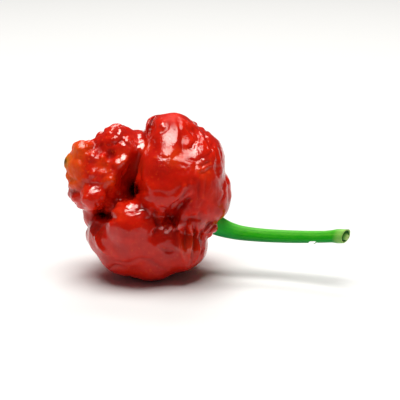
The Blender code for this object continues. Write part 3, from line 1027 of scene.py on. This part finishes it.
class PEPPER_OT_stem(Operator):
    """Builds the stem with its ribs, its swollen end and the oblique cut"""

    bl_idname = "pepper.stem"
    bl_label = "Stem"

    def execute(self, context):
        settings = context.scene.pepper_stem
        stations = stem_stations(STEM_STATIONS)
        bm = bmesh.new()
        grain = bm.verts.layers.float_vector.new("grain")
        root = bm.verts.layers.float.new("root")
        ring = bmesh.ops.create_circle(bm, segments=settings.sides, radius=1.0)["verts"]
        for number, vertex in enumerate(ring):
            angle = math.tau * number / settings.sides
            vertex[grain] = (math.cos(angle), math.sin(angle), 0.0)
        self.place_ring(ring, stations, 0, settings, grain)
        edges = list(bm.edges)
        for index in range(1, len(stations)):
            grown = bmesh.ops.extrude_edge_only(bm, edges=edges)["geom"]
            edges = of_kind(grown, bmesh.types.BMEdge)
            self.place_ring(of_kind(grown, bmesh.types.BMVert), stations, index, settings, grain)
        bmesh.ops.holes_fill(bm, edges=bm.edges, sides=0)
        bmesh.ops.recalc_face_normals(bm, faces=bm.faces)
        for vertex in bm.verts:
            # The painted light near the fruit fades out along the stem.
            vertex[root] = 1.0 - clamp((vertex[grain].z - ROOT_LIGHT_FROM) / (ROOT_LIGHT_TO - ROOT_LIGHT_FROM))
        self.tear_fibre(bm)
        self.cut_end(bm)
        stem = link_mesh("stem_stalk", bm)
        finish_green(stem, "stem_green", STEM_GREENS._replace(side=tuple(settings.colour)))
        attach(stem, BODY)
        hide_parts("stem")
        return {"FINISHED"}

    @staticmethod
    def place_ring(verts, stations, index, settings, grain):
        """Puts one ring of the stem in its place, square to the stem's course."""
        here = stations[index]
        before, after = stations[max(index - 1, 0)], stations[min(index + 1, len(stations) - 1)]
        along = Vector((after - before)[:3]).normalized()
        side = along.cross(Vector((0, 0, 1))).normalized()
        up = side.cross(along)
        for vertex in verts:
            across, rise, _ = vertex[grain]
            angle = math.atan2(rise, across)
            rib = math.cos(STEM_RIBS * angle + 0.6)
            rib += 0.5 * math.cos(STEM_FINE_RIBS * angle + index * 0.01)
            radius = here[3] * (1.0 + settings.rib_height * 0.5 * rib)
            spot = Vector(here[:3]) + (side * across + up * rise) * radius
            nick = min(spot.x - NICK_FROM, (NICK_TO - spot.x) * NICK_FAR_SLOPE)
            if nick > 0.0:
                bottom = here[2] - here[3]
                spot.z = max(spot.z, bottom + NICK_DEPTH * min(1.0, nick / NICK_RUN))
            vertex.co = spot * 0.001
            vertex[grain] = (across, rise, here[0])

    @staticmethod
    def tear_fibre(bm):
        """Draws a thin torn fibre out of the face nearest to its root."""
        root = mm(*FIBRE_ROOT)
        face = min(bm.faces, key=lambda item: (item.calc_center_median() - root).length)
        for step in FIBRE_STEPS:
            face = bmesh.ops.extrude_discrete_faces(bm, faces=[face])["faces"][0]
            bmesh.ops.translate(bm, verts=face.verts, vec=mm(*step))
            middle = Matrix.Translation(-face.calc_center_median())
            bmesh.ops.scale(bm, verts=face.verts, vec=[FIBRE_TAPER] * 3, space=middle)

    @staticmethod
    def cut_end(bm):
        """Cuts the stem's end off obliquely, sinks a hollow in it, coloured darker, and raises its
        pale core.
        """
        pale = bm.verts.layers.float.new("pale")
        pith = bm.verts.layers.float.new("pith")
        facing = Vector(CUT_FACING).normalized()
        everything = [*bm.verts, *bm.edges, *bm.faces]
        cut = bmesh.ops.bisect_plane(
            bm, geom=everything, dist=mm(0.001), plane_co=mm(*CUT_PLACE), plane_no=facing,
            clear_outer=True,
        )["geom_cut"]
        rim = of_kind(cut, bmesh.types.BMEdge)
        middle = mm(*CUT_PLACE)
        for vertex in bm.verts:
            depth = (middle - vertex.co).dot(facing) * 1000.0
            vertex[pale] = clamp(PALE_START - depth * PALE_FADE) * PALE_END
        for number, step in enumerate(CUT_STEPS):
            grown = bmesh.ops.extrude_edge_only(bm, edges=rim)["geom"]
            rim = of_kind(grown, bmesh.types.BMEdge)
            verts = of_kind(grown, bmesh.types.BMVert)
            around = Matrix.Translation(-middle)
            bmesh.ops.scale(bm, verts=verts, vec=[step.share] * 3, space=around)
            drift = facing * mm(step.rise) + mm(*CUT_DRIFT) * number
            bmesh.ops.translate(bm, verts=verts, vec=drift)
            middle += drift
            for vertex in verts:
                vertex[pale] = step.pale
                vertex[pith] = step.pith
        bmesh.ops.contextual_create(bm, geom=rim)
        bmesh.ops.recalc_face_normals(bm, faces=bm.faces)


class PEPPER_OT_stage(Operator):
    """Builds the pale floor, the lights and the camera"""

    bl_idname = "pepper.stage"
    bl_label = "Stage"

    def execute(self, context):
        settings = context.scene.pepper_studio
        scene = context.scene
        bm = bmesh.new()
        bmesh.ops.create_grid(bm, x_segments=2, y_segments=2, size=FLOOR_REACH)
        floor = link_mesh("floor", bm)
        paint = Paint("pale_floor", {"Roughness": 0.7, "Specular IOR Level": 0.1})
        darker = [channel * 0.99 for channel in settings.floor_colour]
        tone = paint.mix(paint.noise(40.0) * 0.3, settings.floor_colour, darker)
        floor.data.materials.append(paint.feed({"Base Color": tone}))
        self.add_light("key_light", KEY_PLACE, KEY_SIZE, settings.key_power)
        self.add_light("back_light", BACK_PLACE, BACK_SIZE, settings.back_power)
        world = bpy.data.worlds.new("dim_studio")
        scene.world = world
        world.use_nodes = True
        background = world.node_tree.nodes["Background"]
        background.inputs["Color"].default_value = (1.0, 1.0, 1.0, 1.0)
        background.inputs["Strength"].default_value = WORLD_STRENGTH
        camera = bpy.data.objects.new("camera", bpy.data.cameras.new("camera"))
        camera.data.lens = LENS
        camera.data.sensor_width = SENSOR
        camera.data.clip_start = 0.01
        camera.location = LOOK_AT + TO_CAMERA * CAMERA_DISTANCE
        camera.rotation_euler = (-TO_CAMERA).to_track_quat("-Z", "Y").to_euler()
        scene.collection.objects.link(camera)
        scene.camera = camera
        scene.view_settings.view_transform = "Standard"
        return {"FINISHED"}

    @staticmethod
    def add_light(name, place, size, power):
        """Hangs a rectangular light that faces the pepper."""
        light = bpy.data.lights.new(name, "AREA")
        light.shape = "RECTANGLE"
        light.size, light.size_y = size
        light.energy = power
        light.color = LIGHT_COLOUR
        lamp = bpy.data.objects.new(name, light)
        lamp.location = place
        lamp.rotation_euler = (lamp.location - LOOK_AT).to_track_quat("Z", "Y").to_euler()
        bpy.context.scene.collection.objects.link(lamp)


class PEPPER_PT_pieces(Panel):
    """Lists the pieces that can be built"""

    bl_idname = "PEPPER_PT_pieces"
    bl_label = "Scorpion pepper"
    bl_space_type = "VIEW_3D"
    bl_region_type = "UI"
    bl_category = "Pepper"

    def draw(self, context):
        for operator in (PEPPER_OT_fruit, PEPPER_OT_calyx, PEPPER_OT_stem, PEPPER_OT_stage):
            self.layout.operator(operator.bl_idname)


CLASSES = (
    FruitSettings, StemSettings, StudioSettings,
    PEPPER_OT_fruit, PEPPER_OT_calyx, PEPPER_OT_stem, PEPPER_OT_stage, PEPPER_PT_pieces,
)


def register():
    for cls in CLASSES:
        bpy.utils.register_class(cls)
    bpy.types.Scene.pepper_fruit = PointerProperty(type=FruitSettings)
    bpy.types.Scene.pepper_stem = PointerProperty(type=StemSettings)
    bpy.types.Scene.pepper_studio = PointerProperty(type=StudioSettings)


def unregister():
    del bpy.types.Scene.pepper_studio
    del bpy.types.Scene.pepper_stem
    del bpy.types.Scene.pepper_fruit
    for cls in reversed(CLASSES):
        bpy.utils.unregister_class(cls)


def main():
    register()
    bpy.ops.pepper.stage()
    bpy.ops.pepper.fruit()
    bpy.ops.pepper.calyx()
    bpy.ops.pepper.stem()


if __name__ == "__main__":
    main()
